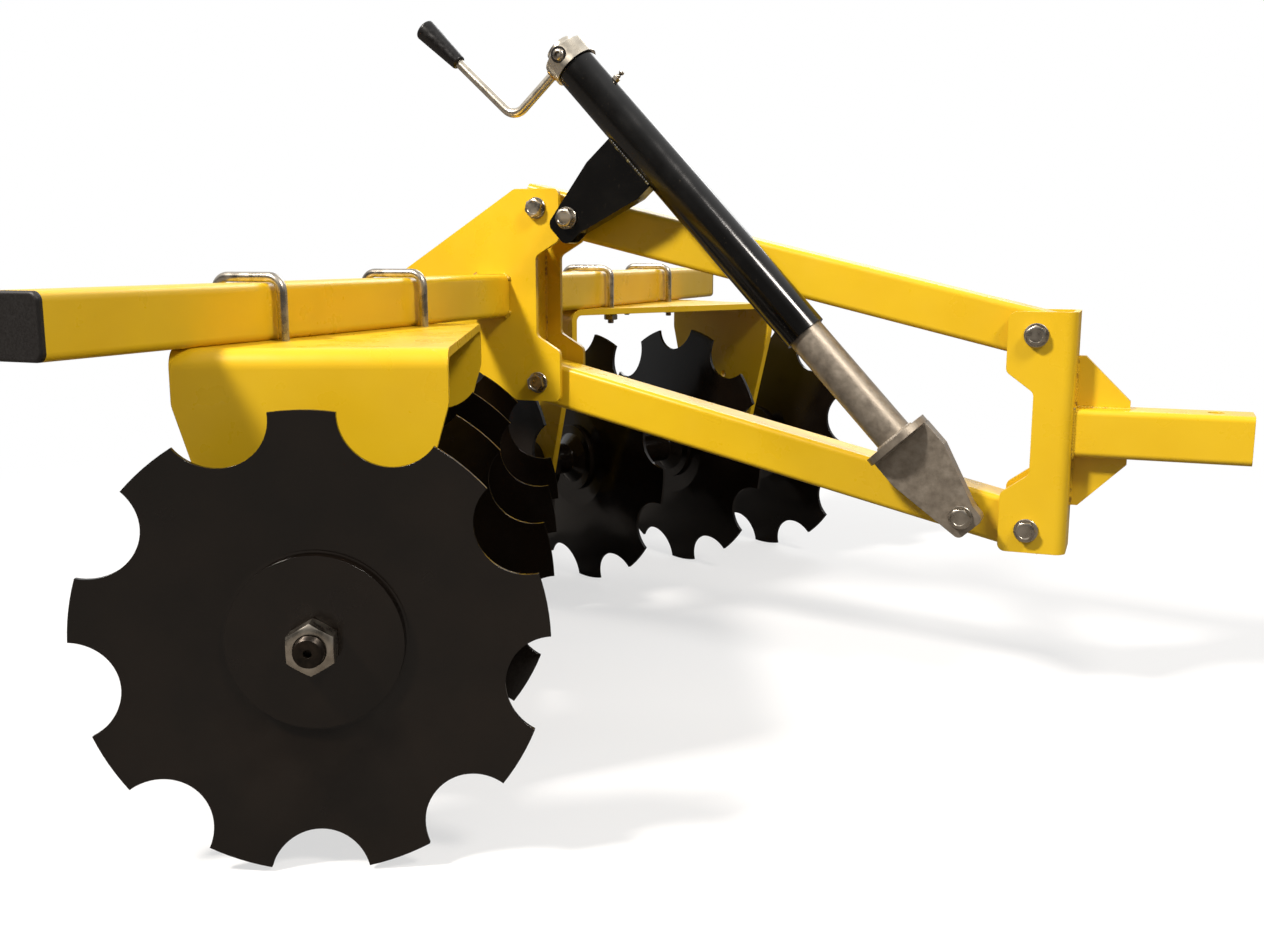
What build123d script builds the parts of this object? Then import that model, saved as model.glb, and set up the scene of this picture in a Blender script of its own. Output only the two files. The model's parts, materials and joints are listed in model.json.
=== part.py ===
"""Disc harrow towed behind a quad bike.  Two gangs of notched discs hang under a cross tube.  Parallel
links and a screw jack carry them from the hitch and set how deep they cut.

Millimetres.  +X is the way it is towed, +Y is its left side, +Z is up.  Z = 0 is the ground, and X = 0,
Y = 0 is the middle of the whole machine.
"""
from build123d import *
from math import asin, atan2, cos, degrees, hypot, radians, sin, sqrt
import os

os.makedirs("parts", exist_ok=True)

# ------------------------------------------------------------------ driving dimensions

# cross tube
tube_size = 50.0
tube_wall = 4.0
tube_corner = 7.0
tube_length = 1473.0
tube_above_axle = 245.7
cap_head = 5.0
cap_spigot = 22.0
cap_wall = 3.0

# discs
disc_diameter = 365.0
disc_thickness = 4.0
disc_dish = 18.0  # how far the rim stands outside the flat middle
disc_flat = 72.0  # radius of the flat middle
notch_count = 9
notch_radius = 39.5
notch_ring = 189.0  # circle that the notch centres lie on

# what clamps the discs on their shaft
disc_count = 4
disc_spacing = 185.0
shaft_radius = 12.0
hollow_plate_radius = 69.0  # clamping plate on the hollow side of a disc
bulge_plate_radius = 48.0  # clamping plate on the bulging side
clamp_plate = 6.0
spool_radius = 22.0
spool_flare_radius = 36.0
spool_flare = 12.0
shaft_nut_flats = 36.0
shaft_nut = 20.0
shaft_tail = 8.0
shaft_centre_hole = 3.2
shaft_centre_depth = 7.0

# name, side, degrees the gang is turned, its middle ahead of the cross tube, its middle from the
# machine's middle, degrees from the top to the first tooth
GANGS = [
    ("right", -1, 24.6, 45.0, 382.0, 0.0),
    ("left", +1, 29.5, 23.0, 374.0, 16.5),
]

# gang brackets and bearings
bracket_plate = 8.0
bracket_bend = 16.0  # outer radius of the bends
bracket_width = 222.0
bracket_behind = 11.0  # the bracket's middle line is this far behind the shaft
leg_straight = 45.0
leg_foot_width = 78.0
leg_foot_corner = 20.0
leg_below_axle = 72.0
leg_hole_radius = 5.0
leg_hole_above = 106.0
bearing_radius = 32.0
bearing_length = 44.0
bearing_flange_radius = 47.0
bearing_flange = 9.0
bearing_lip = 3.0

# U-bolts that clamp the brackets to the cross tube
clamp_y = 368.0  # middle of a pair, from the machine's middle
clamp_half = 117.0
rod_radius = 4.5
rod_bend = 13.0
rod_gap = 0.5
slot_play = 1.5
slot_travel = 8.0
rod_nut_flats = 17.0
rod_nut = 9.0
rod_tail = 5.0

# mast: two plates and a web
mast_plate = 6.0
mast_gap = 62.0
mast_half_height = 125.0
mast_top_rear = 33.0  # distances ahead of the tube's axis
mast_front = 91.0
mast_throat = 60.5
mast_heel_rear = -68.0
mast_rear = -120.0
mast_rear_top = 30.0  # distances from the tube's axis
mast_rear_low = 28.0
mast_heel_drop = 61.0
ear_root = 47.0
ear_tip = 65.0
mast_corner = 8.0
web_front = 41.0
web_half_height = 60.0
weld_gap = 0.2

# parallel links
link_size = 50.0
link_wall = 3.0
link_corner = 6.0
link_length = 584.6  # between pivots
link_slope = 13.36  # degrees that the links hang down to the front
pivot_ahead = 62.0  # rear pivots ahead of the tube's axis
pivot_half = 102.5  # rear pivots above and below the tube's axis
link_rear_end = 22.0
link_front_end = 18.0
bush_radius = 11.0
side_gap = 0.5

# pivot bolts
bolt_radius = 6.0
bolt_play = 0.08
bolt_flats = 19.0
bolt_head = 8.0
bolt_nut = 10.0
bolt_tail = 5.0
washer_radius = 12.5
washer = 2.5
spacer_radius = 14.0

# hitch bracket and drawbar
hitch_plate = 6.0
hitch_bend = 12.0
hitch_half_height = 126.5
hitch_rear = 28.5  # behind the front pivots
hitch_front = 40.0  # ahead of the front pivots
hitch_corner = 12.0
hitch_mouth_half = 64.0
hitch_throat_half = 43.0
hitch_throat_corner = 8.0
gusset_plate = 10.0
gusset_half = 79.0
gusset_flat = 8.0
drawbar_size = 50.0
drawbar_wall = 4.0
drawbar_corner = 6.0
drawbar_length = 170.0
drawbar_rise = 1.5  # its middle above the middle of the front pivots
hitch_pin_radius = 8.0
hitch_pin_from_end = 35.0

# screw jack; distances along it are measured from its lower pin
jack_side = 57.0  # its axis to the right of the links' middle
pin_on_upper_link = 55.5  # from the rear pivot
pin_on_lower_link = 519.0
pin_off_axis = 118.8  # from the jack's axis to its upper pin
pin_drift = 5.0  # play in the lower link
barrel_radius = 24.15
barrel_wall = 3.0
barrel_low = 255.0
barrel_top = 650.0
barrel_lid = 4.0
ram_radius = 20.7
ram_wall = 3.5
ram_top = 540.0
ram_flange_radius = 38.0
ram_flange = 8.0
fork_top = 100.0
fork_width = 22.0
fork_plate = 5.0
fork_rear = 33.0
fork_front = 37.0
fork_nose = 17.0
fork_nose_corner = 7.0
fork_neck = 30.0
lug_plate = 5.0
lug_above = 28.0  # of the lug's top edge, above the upper pin
lug_below = 44.0
lug_nose = 23.0
lug_nose_corner = 10.0
lug_shoulder = 42.0

# crank
crank_gap = 1.0
crank_head_radius = 27.0
crank_head = 31.0
crank_head_round = 10.0
crank_arm_level = 15.0
crank_rod_radius = 5.4
crank_arm = 93.0
crank_bend = 17.0
crank_handle = 153.0
crank_splay = 5.0
spindle_radius = 9.0
spindle_play = 0.1
spindle_collar = 14.0
grip_length = 62.0
grip_small = 8.5
grip_large = 13.0
grip_round = 3.0
grip_wall = 4.0

# ------------------------------------------------------------------ worked out from them

disc_radius = disc_diameter / 2
axle_z = disc_radius
tube_z = axle_z + tube_above_axle
tube_half = tube_size / 2
link_half = link_size / 2
bracket_top = tube_z - tube_half
bolt_bore = bolt_radius + bolt_play
leg_offset = disc_spacing
disc_middle = (disc_count - 1) / 2
notch_step = 360 / notch_count
notch_meet = (disc_radius**2 + notch_ring**2 - notch_radius**2) / (2 * disc_radius * notch_ring)
tooth_half = notch_step / 2 - degrees(asin(sqrt(1 - notch_meet**2)))


def rear_reach(phase):
    """How far behind its shaft the rearmost tooth of a disc reaches, with the disc square to the tow."""
    gaps = [abs((phase + k * notch_step - 270 + 180) % 360 - 180) for k in range(notch_count)]
    return disc_radius * cos(radians(max(0, min(gaps) - tooth_half)))


def rearmost(angle, ahead, phase):
    """X of the rearmost tooth of a gang's inner disc, from the tube's axis."""
    inner_rim = -disc_middle * disc_spacing - disc_thickness
    return ahead + inner_rim * sin(radians(angle)) - rear_reach(phase) * cos(radians(angle))


drop = link_length * sin(radians(link_slope))
front_pivot_ahead = pivot_ahead + link_length * cos(radians(link_slope))
foremost = front_pivot_ahead + hitch_front + drawbar_length
hindmost = min(rearmost(angle, ahead, phase) for _, _, angle, ahead, _, phase in GANGS)
tube_x = -(foremost + hindmost) / 2

rear_pivot_x = tube_x + pivot_ahead
front_pivot_x = tube_x + front_pivot_ahead
upper_pivot_z = tube_z + pivot_half
lower_pivot_z = tube_z - pivot_half
hitch_z = tube_z - drop
mast_outer = mast_gap / 2 + mast_plate
mast_inner = mast_gap / 2
link_way = Vector(cos(radians(link_slope)), 0, -sin(radians(link_slope)))

# the jack's axis runs through its lower pin and passes its upper pin at pin_off_axis
upper_pin = Vector(rear_pivot_x, 0, upper_pivot_z) + link_way * pin_on_upper_link
lower_pin = Vector(rear_pivot_x, 0, lower_pivot_z) + link_way * pin_on_lower_link
pin_span = upper_pin - lower_pin
upper_pin_along = sqrt(pin_span.length**2 - pin_off_axis**2)
jack_angle = atan2(pin_span.Z, pin_span.X) - atan2(pin_off_axis, upper_pin_along)
jack_way = Vector(cos(jack_angle), 0, sin(jack_angle))
jack_foot = Vector(lower_pin.X, -jack_side, lower_pin.Z)
jack_axis = Axis(jack_foot, jack_way)
jack_profile = Plane(origin=jack_foot, x_dir=jack_way, z_dir=(0, 1, 0))


def across_jack(along):
    """Plane square to the jack's axis."""
    return Plane(origin=jack_foot + jack_way * along, x_dir=(0, 1, 0), z_dir=jack_way)


def save(piece, label):
    piece.part.label = label
    export_step(piece.part, f"parts/{label}.step")


def square_tube(size, wall, corner):
    """Section of a square tube, inside the sketch that calls it."""
    RectangleRounded(size, size, corner)
    RectangleRounded(size - 2 * wall, size - 2 * wall, max(corner - wall, 1), mode=Mode.SUBTRACT)


# ------------------------------------------------------------------ cross tube and its caps

with BuildPart() as cross_tube:
    with BuildSketch(Plane(origin=(tube_x, 0, tube_z), x_dir=(1, 0, 0), z_dir=(0, 1, 0))):
        square_tube(tube_size, tube_wall, tube_corner)
    extrude(amount=tube_length / 2, both=True)
save(cross_tube, "cross_tube")

for side_name, side in (("right", -1), ("left", 1)):
    tube_end = Plane(origin=(tube_x, side * tube_length / 2, tube_z), x_dir=(1, 0, 0), z_dir=(0, side, 0))
    tube_inside = tube_size - 2 * tube_wall - 2 * weld_gap
    with BuildPart() as cap:
        with BuildSketch(tube_end):
            RectangleRounded(tube_size, tube_size, tube_corner)
        extrude(amount=cap_head)
        fillet(cap.faces().sort_by(Axis.Y)[-1 if side > 0 else 0].edges(), cap_head / 2)
        with BuildSketch(tube_end):
            square_tube(tube_inside, cap_wall, tube_corner - tube_wall)
        extrude(amount=-cap_spigot)
    save(cap, f"tube_cap_{side_name}")

# ------------------------------------------------------------------ mast

for side_name, side in (("right", -1), ("left", 1)):
    plate_inside = Plane(origin=(tube_x, side * mast_inner, tube_z), x_dir=(1, 0, 0), z_dir=(0, -1, 0))
    with BuildPart() as mast:
        with BuildSketch(plate_inside) as outline:
            with BuildLine():
                Polyline(
                    (mast_top_rear, mast_half_height),
                    (mast_front, mast_half_height),
                    (mast_front, ear_tip),
                    (mast_throat, ear_root),
                    (mast_throat, -ear_root),
                    (mast_front, -ear_tip),
                    (mast_front, -mast_half_height),
                    (mast_top_rear, -mast_half_height),
                    (mast_heel_rear, -mast_heel_drop),
                    (mast_rear, -mast_rear_low),
                    (mast_rear, mast_rear_top),
                    close=True,
                )
            make_face()
            fillet(outline.vertices(), mast_corner)
            tube_hole = tube_size + 2 * weld_gap
            RectangleRounded(tube_hole, tube_hole, tube_corner + weld_gap, mode=Mode.SUBTRACT)
            with Locations((pivot_ahead, pivot_half), (pivot_ahead, -pivot_half)):
                Circle(bolt_bore, mode=Mode.SUBTRACT)
        extrude(amount=-side * mast_plate)
    save(mast, f"mast_plate_{side_name}")

with BuildPart() as mast_web:
    with BuildSketch(Plane(origin=(tube_x + web_front, 0, tube_z), x_dir=(0, 1, 0), z_dir=(-1, 0, 0))):
        Rectangle(mast_gap, 2 * web_half_height)
    extrude(amount=mast_plate)
save(mast_web, "mast_web")

# ------------------------------------------------------------------ gang brackets, bearings and gangs


class Gang:
    """Place of one gang: its shaft's middle, the way its shaft runs out, and the planes it is drawn on."""

    def __init__(self, side, angle, ahead, off_middle):
        turn = radians(angle)
        self.side = side
        self.middle = Vector(tube_x + ahead, side * off_middle, axle_z)
        self.out = Vector(sin(turn), side * cos(turn), 0)
        self.forward = Vector(cos(turn), -side * sin(turn), 0)
        self.axis = Axis(self.middle, self.out)
        # x is the distance from the shaft, y the distance out along it
        self.turning = Plane(origin=self.middle, x_dir=(0, 0, 1), z_dir=Vector(0, 0, 1).cross(self.out))
        self.bracket_face = Plane(
            origin=self.middle - self.forward * bracket_behind, x_dir=self.out, z_dir=self.out.cross(Vector(0, 0, 1))
        )

    def square_to_shaft(self, out):
        """Plane square to the shaft; its x is up."""
        return Plane(origin=self.middle + self.out * out, x_dir=(0, 0, 1), z_dir=self.out)

    def along_shaft(self, x, y):
        """A place on the ground plan, as (out along the shaft, forward of it)."""
        offset = Vector(x, y, 0) - Vector(self.middle.X, self.middle.Y, 0)
        return offset.dot(self.out), offset.dot(self.forward)


def turned_piece(label, gang, half_section):
    """Ring turned about the gang's shaft; its half section is a list of (from the shaft, out along it)."""
    with BuildPart() as ring:
        with BuildSketch(gang.turning):
            with BuildLine():
                Polyline(*half_section, close=True)
            make_face()
        revolve(axis=gang.axis)
    save(ring, label)


def clamp_ring(radius, low, high):
    """Half section of a flat clamping plate."""
    bore = shaft_radius + weld_gap
    return [(bore, low), (radius, low), (radius, high), (bore, high)]


def spool_section(low, high):
    """Half section of a cast spool: wide plate in one disc's hollow, small one on the next one's back."""
    bore = shaft_radius + weld_gap
    return [
        (bore, low),
        (hollow_plate_radius, low),
        (hollow_plate_radius, low + clamp_plate),
        (spool_flare_radius, low + clamp_plate),
        (spool_radius, low + clamp_plate + spool_flare),
        (spool_radius, high - clamp_plate - spool_flare),
        (spool_flare_radius, high - clamp_plate),
        (bulge_plate_radius, high - clamp_plate),
        (bulge_plate_radius, high),
        (bore, high),
    ]


def bearing_section(middle, way):
    """Half section of a bearing housing; its flange lies on the inner face of the bracket's leg."""
    bore = spool_radius + spindle_play
    face = middle - way * bracket_plate / 2
    near = middle - way * bearing_length / 2
    far = middle + way * bearing_length / 2
    return [
        (bore, near),
        (bearing_radius - bearing_lip, near),
        (bearing_radius, near + way * bearing_lip),
        (bearing_radius, face - way * bearing_flange),
        (bearing_flange_radius, face - way * bearing_flange),
        (bearing_flange_radius, face),
        (bearing_radius, face),
        (bearing_radius, far - way * bearing_lip),
        (bearing_radius - bearing_lip, far),
        (bore, far),
    ]


for gang_name, side, angle, ahead, off_middle, phase in GANGS:
    gang = Gang(side, angle, ahead, off_middle)
    disc_places = [(k - disc_middle) * disc_spacing for k in range(disc_count)]

    # bracket: a plate bent into an upside-down U, its legs tapered down to the bearings
    flange_below_top = bracket_top - axle_z
    bracket_outer = leg_offset + bracket_plate / 2
    bracket_inner = leg_offset - bracket_plate / 2
    leg_bottom = -leg_below_axle
    leg_section = Plane(
        origin=gang.middle - gang.forward * bracket_behind, x_dir=gang.forward, z_dir=gang.forward.cross(Vector(0, 0, 1))
    )
    shoulder = flange_below_top - leg_straight
    with BuildPart() as bracket:
        with BuildSketch(gang.bracket_face) as bent:
            with Locations((0, (flange_below_top + leg_bottom) / 2)):
                Rectangle(2 * bracket_outer, flange_below_top - leg_bottom)
            fillet(bent.vertices().group_by(Axis.Z)[-1], bracket_bend)
            with BuildSketch(mode=Mode.SUBTRACT) as hollow:
                with Locations((0, (flange_below_top + leg_bottom) / 2 - bracket_plate)):
                    Rectangle(2 * bracket_inner, flange_below_top - leg_bottom)
                fillet(hollow.vertices().group_by(Axis.Y)[-1], bracket_bend - bracket_plate)
        extrude(amount=bracket_width / 2, both=True)
        with BuildSketch(leg_section) as legs:
            with BuildLine():
                Polyline(
                    (-bracket_width / 2, flange_below_top),
                    (-bracket_width / 2, shoulder),
                    (-leg_foot_width / 2, leg_bottom),
                    (leg_foot_width / 2, leg_bottom),
                    (bracket_width / 2, shoulder),
                    (bracket_width / 2, flange_below_top),
                    close=True,
                )
            make_face()
            fillet(legs.vertices().group_by(Axis.Z)[0], leg_foot_corner)
            with Locations((bracket_behind, 0)):
                Circle(bearing_radius + weld_gap, mode=Mode.SUBTRACT)
            with Locations((bracket_behind, leg_hole_above)):
                Circle(leg_hole_radius, mode=Mode.SUBTRACT)
        extrude(amount=bracket_outer, both=True, mode=Mode.INTERSECT)
        for clamp in (clamp_y - clamp_half, clamp_y + clamp_half):
            for leg_x in (-1, 1):
                rod_x = tube_x + leg_x * (tube_half + rod_gap + rod_radius)
                out, forward = gang.along_shaft(rod_x, side * clamp)
                flange_plan = Plane(
                    origin=(gang.middle.X, gang.middle.Y, bracket_top), x_dir=gang.out, z_dir=(0, 0, -1)
                )
                swing = degrees(atan2(forward, out)) * side
                with BuildSketch(flange_plan):
                    with Locations(flange_plan.to_local_coords(Vector(rod_x, side * clamp, bracket_top))):
                        SlotCenterToCenter(slot_travel, 2 * rod_radius + slot_play, rotation=swing + 90)
                extrude(amount=bracket_plate, mode=Mode.SUBTRACT)
    save(bracket, f"{gang_name}_gang_bracket")

    # U-bolts over the cross tube
    for place, clamp in (("inner", clamp_y - clamp_half), ("outer", clamp_y + clamp_half)):
        rod_plane = Plane(origin=(tube_x, side * clamp, tube_z), x_dir=(1, 0, 0), z_dir=(0, -1, 0))
        rod_half = tube_half + rod_gap + rod_radius
        nut_top = -tube_half - bracket_plate
        rod_low = nut_top - rod_nut - rod_tail
        with BuildPart() as u_bolt:
            with BuildLine(rod_plane) as rod_path:
                FilletPolyline(
                    (-rod_half, rod_low), (-rod_half, rod_half), (rod_half, rod_half), (rod_half, rod_low), radius=rod_bend
                )
            with BuildSketch(Plane(origin=rod_path.line @ 0, z_dir=(0, 0, 1))):
                Circle(rod_radius)
            sweep(path=rod_path.line)
            with BuildSketch(Plane(origin=(tube_x, side * clamp, tube_z + nut_top), z_dir=(0, 0, -1))):
                with Locations((-rod_half, 0), (rod_half, 0)):
                    RegularPolygon(rod_nut_flats / 2, 6, major_radius=False)
            extrude(amount=rod_nut)
        save(u_bolt, f"{gang_name}_{place}_u_bolt")

    # bearings in the legs
    for place, way in (("inner", -1), ("outer", 1)):
        turned_piece(f"{gang_name}_{place}_bearing", gang, bearing_section(way * leg_offset, way))

    # discs
    for number, rim in enumerate(disc_places, start=1):
        hollow_face = rim - disc_dish
        with BuildPart() as disc:
            with BuildSketch(gang.turning):
                with BuildLine():
                    Line((shaft_radius + weld_gap, hollow_face), (disc_flat, hollow_face))
                    Line((disc_flat, hollow_face), (disc_radius, rim))
                    Line((disc_radius, rim), (disc_radius, rim - disc_thickness))
                    Line((disc_radius, rim - disc_thickness), (disc_flat, hollow_face - disc_thickness))
                    Polyline(
                        (disc_flat, hollow_face - disc_thickness),
                        (shaft_radius + weld_gap, hollow_face - disc_thickness),
                        (shaft_radius + weld_gap, hollow_face),
                    )
                make_face()
            revolve(axis=gang.axis)
            with BuildSketch(gang.square_to_shaft(rim)):
                with PolarLocations(notch_ring, notch_count, start_angle=side * phase + notch_step / 2):
                    Circle(notch_radius)
            extrude(amount=disc_dish + disc_thickness, both=True, mode=Mode.SUBTRACT)
        save(disc, f"{gang_name}_disc_{number}")

    # spools, the inner and the outer one running in the bearings, and the end plates
    for place, low, high in (("inner", 0, 1), ("middle", 1, 2), ("outer", 2, 3)):
        spool_low = disc_places[low] - disc_dish
        spool_high = disc_places[high] - disc_dish - disc_thickness
        turned_piece(f"{gang_name}_{place}_spool", gang, spool_section(spool_low, spool_high))

    inner_face = disc_places[0] - disc_dish - disc_thickness
    outer_face = disc_places[-1] - disc_dish
    inner_ring = clamp_ring(bulge_plate_radius, inner_face - clamp_plate, inner_face)
    outer_ring = clamp_ring(hollow_plate_radius, outer_face, outer_face + clamp_plate)
    turned_piece(f"{gang_name}_inner_end_plate", gang, inner_ring)
    turned_piece(f"{gang_name}_outer_end_plate", gang, outer_ring)

    # shaft, with a hexagon head at its inner end and a nut at its outer end
    shaft_head_face = inner_face - clamp_plate
    shaft_nut_face = outer_face + clamp_plate
    shaft_end = shaft_nut_face + shaft_nut + shaft_tail
    with BuildPart() as shaft:
        with BuildSketch(gang.square_to_shaft(shaft_head_face)):
            RegularPolygon(shaft_nut_flats / 2, 6, major_radius=False)
        extrude(amount=-shaft_nut)
        with BuildSketch(gang.square_to_shaft(shaft_head_face)):
            Circle(shaft_radius)
        extrude(amount=shaft_end - shaft_head_face)
        chamfer(shaft.faces().sort_by(gang.axis)[-1].edges(), shaft_radius / 8)
        with Locations(gang.square_to_shaft(shaft_end)):
            Hole(shaft_centre_hole, depth=shaft_centre_depth)
    save(shaft, f"{gang_name}_gang_shaft")

    with BuildPart() as shaft_end_nut:
        with BuildSketch(gang.square_to_shaft(shaft_nut_face)):
            RegularPolygon(shaft_nut_flats / 2, 6, major_radius=False)
            Circle(shaft_radius + spindle_play, mode=Mode.SUBTRACT)
        extrude(amount=shaft_nut)
    save(shaft_end_nut, f"{gang_name}_gang_nut")

# ------------------------------------------------------------------ parallel links

# name, height of the rear pivot, where the jack's pin crosses the link, radius of the hole for it
LINKS = [
    ("upper_link", upper_pivot_z, pin_on_upper_link, bolt_bore),
    ("lower_link", lower_pivot_z, pin_on_lower_link, bolt_radius + pin_drift),
]

for link_name, pivot_z, jack_pin, jack_hole in LINKS:
    rear_pivot = Vector(rear_pivot_x, 0, pivot_z)
    link_rear = Plane(origin=rear_pivot - link_way * link_rear_end, x_dir=(0, 1, 0), z_dir=link_way)
    link_side = Plane(origin=rear_pivot, x_dir=link_way, z_dir=(0, -1, 0))
    with BuildPart() as link:
        with BuildSketch(link_rear):
            square_tube(link_size, link_wall, link_corner)
        extrude(amount=link_rear_end + link_length + link_front_end)
        with BuildSketch(link_side):
            with Locations((0, 0), (link_length, 0)):
                Circle(bush_radius)
        extrude(amount=mast_inner - side_gap, both=True)
        with BuildSketch(link_side):
            with Locations((0, 0), (link_length, 0)):
                Circle(bolt_bore)
            with Locations((jack_pin, 0)):
                Circle(jack_hole)
        extrude(amount=mast_outer, both=True, mode=Mode.SUBTRACT)
    save(link, link_name)


# ------------------------------------------------------------------ pivot bolts


def pivot_bolt(label, x, z, head_face, nut_face, spacer=None):
    """Hexagon bolt from the right side to the left, with its washers and nut; spacer is (from, to) in Y."""
    grip = nut_face - head_face
    with BuildPart() as bolt:
        with BuildSketch(Plane(origin=(x, head_face, z), z_dir=(0, 1, 0))):
            Circle(bolt_radius)
        extrude(amount=grip + washer + bolt_nut + bolt_tail)
        with BuildSketch(Plane(origin=(x, head_face, z), z_dir=(0, -1, 0))):
            Circle(washer_radius)
        extrude(amount=washer)
        with BuildSketch(Plane(origin=(x, head_face - washer, z), z_dir=(0, -1, 0))):
            RegularPolygon(bolt_flats / 2, 6, major_radius=False)
        extrude(amount=bolt_head)
        with BuildSketch(Plane(origin=(x, nut_face, z), z_dir=(0, 1, 0))):
            Circle(washer_radius)
        extrude(amount=washer)
        with BuildSketch(Plane(origin=(x, nut_face + washer, z), z_dir=(0, 1, 0))):
            RegularPolygon(bolt_flats / 2, 6, major_radius=False)
        extrude(amount=bolt_nut)
        if spacer:
            with BuildSketch(Plane(origin=(x, spacer[0], z), z_dir=(0, 1, 0))):
                Circle(spacer_radius)
            extrude(amount=spacer[1] - spacer[0])
    save(bolt, label)


pivot_bolt("rear_upper_bolt", rear_pivot_x, upper_pivot_z, -mast_outer, mast_outer)
pivot_bolt("rear_lower_bolt", rear_pivot_x, lower_pivot_z, -mast_outer, mast_outer)
pivot_bolt("front_upper_bolt", front_pivot_x, upper_pivot_z - drop, -mast_outer, mast_outer)
pivot_bolt("front_lower_bolt", front_pivot_x, lower_pivot_z - drop, -mast_outer, mast_outer)

# ------------------------------------------------------------------ hitch bracket and drawbar

hitch_web_x = front_pivot_x + hitch_front
hitch_depth = hitch_front + hitch_rear
hitch_side = Plane(origin=(front_pivot_x, 0, hitch_z), x_dir=(1, 0, 0), z_dir=(0, -1, 0))

with BuildPart() as hitch_bracket:
    with BuildSketch(Plane.XY.offset(hitch_z - hitch_half_height)) as channel:
        with Locations((hitch_web_x - hitch_depth / 2, 0)):
            Rectangle(hitch_depth, 2 * mast_outer)
        fillet(channel.vertices().group_by(Axis.X)[-1], hitch_bend)
        with BuildSketch(mode=Mode.SUBTRACT) as inside:
            with Locations((hitch_web_x - hitch_plate - hitch_depth / 2, 0)):
                Rectangle(hitch_depth, mast_gap)
            fillet(inside.vertices().group_by(Axis.X)[-1], hitch_bend - hitch_plate)
    extrude(amount=2 * hitch_half_height)
    with BuildSketch(hitch_side) as flank:
        with BuildLine():
            Polyline(
                (-hitch_rear, hitch_half_height),
                (hitch_front, hitch_half_height),
                (hitch_front, -hitch_half_height),
                (-hitch_rear, -hitch_half_height),
                (-hitch_rear, -hitch_mouth_half),
                (0, -hitch_throat_half),
                (0, hitch_throat_half),
                (-hitch_rear, hitch_mouth_half),
                close=True,
            )
        make_face()
        flank_rear = flank.vertices().group_by(Axis.X)
        fillet(flank_rear[0] + flank_rear[1], hitch_throat_corner)
        with Locations((0, pivot_half), (0, -pivot_half)):
            Circle(bolt_bore, mode=Mode.SUBTRACT)
    extrude(amount=mast_outer, both=True, mode=Mode.INTERSECT)
save(hitch_bracket, "hitch_bracket")

drawbar_z = hitch_z + drawbar_rise
with BuildPart() as drawbar:
    with BuildSketch(Plane(origin=(hitch_web_x, 0, drawbar_z), x_dir=(0, 1, 0), z_dir=(1, 0, 0))):
        square_tube(drawbar_size, drawbar_wall, drawbar_corner)
    extrude(amount=drawbar_length)
    with BuildSketch(Plane.XY.offset(drawbar_z)):
        with Locations((hitch_web_x + drawbar_length - hitch_pin_from_end, 0)):
            Circle(hitch_pin_radius)
    extrude(amount=drawbar_size, both=True, mode=Mode.SUBTRACT)
save(drawbar, "drawbar")

for gusset_name, up in (("hitch_gusset_upper", 1), ("hitch_gusset_lower", -1)):
    gusset_foot = up * drawbar_size / 2 + drawbar_rise
    gusset_tip = up * gusset_half + drawbar_rise
    gusset_long = gusset_half - drawbar_size / 2
    with BuildPart() as gusset:
        with BuildSketch(hitch_side):
            with BuildLine():
                Polyline(
                    (hitch_front, gusset_foot),
                    (hitch_front, gusset_tip),
                    (hitch_front + gusset_flat, gusset_tip),
                    (hitch_front + gusset_long, gusset_foot + up * gusset_flat),
                    (hitch_front + gusset_long, gusset_foot),
                    close=True,
                )
            make_face()
        extrude(amount=gusset_plate / 2, both=True)
    save(gusset, gusset_name)

# ------------------------------------------------------------------ screw jack

fork_half = fork_width / 2
jack_pin_face = -jack_side - fork_half

with BuildPart() as barrel:
    with BuildSketch(across_jack(barrel_low)):
        Circle(barrel_radius)
        Circle(barrel_radius - barrel_wall, mode=Mode.SUBTRACT)
    extrude(amount=barrel_top - barrel_low)
    with BuildSketch(across_jack(barrel_top)):
        Circle(barrel_radius - barrel_wall)
        Circle(spindle_radius + spindle_play, mode=Mode.SUBTRACT)
    extrude(amount=-barrel_lid)
save(barrel, "jack_barrel")

# lug: a plate bent into a U, which reaches from the barrel back to the upper pin
lug_top = upper_pin_along + lug_above
lug_low = upper_pin_along - lug_below
lug_waist = -pin_off_axis / 2
lug_tip = -pin_off_axis - lug_nose
nose_high = upper_pin_along + lug_nose / 2
nose_low = upper_pin_along - lug_nose


def lug_edge(inset):
    """Side outline of the lug; inset moves its lower edge in by the plate, for the hollow."""
    return [
        (lug_top, 0),
        (lug_top, lug_waist),
        (nose_high, lug_tip),
        (nose_low + inset, lug_tip),
        (nose_low + inset, -pin_off_axis),
        (lug_low + inset, -lug_shoulder),
        (lug_low + inset, 0),
    ]


with BuildPart() as lug:
    with BuildSketch(jack_profile) as lug_outline:
        with BuildLine():
            Polyline(*lug_edge(0), close=True)
        make_face()
        fillet(lug_outline.vertices().sort_by(Axis.Y)[:3], lug_nose_corner)
    extrude(amount=fork_half, both=True)
    with BuildSketch(jack_profile):
        with BuildLine():
            Polyline(*lug_edge(lug_plate), close=True)
        make_face()
    extrude(amount=fork_half - lug_plate, both=True, mode=Mode.SUBTRACT)
    with BuildSketch(jack_profile):
        with Locations((upper_pin_along, -pin_off_axis)):
            Circle(bolt_bore)
    extrude(amount=fork_width, both=True, mode=Mode.SUBTRACT)
    with BuildSketch(across_jack(barrel_low)):
        Circle(barrel_radius + weld_gap)
    extrude(amount=barrel_top - barrel_low, mode=Mode.SUBTRACT)
save(lug, "jack_lug")

with BuildPart() as ram:
    with BuildSketch(across_jack(fork_top)):
        Circle(ram_radius)
        Circle(ram_radius - ram_wall, mode=Mode.SUBTRACT)
    extrude(amount=ram_top - fork_top)
    with BuildSketch(across_jack(fork_top)):
        Circle(ram_flange_radius)
    extrude(amount=ram_flange)
save(ram, "jack_ram")


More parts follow.
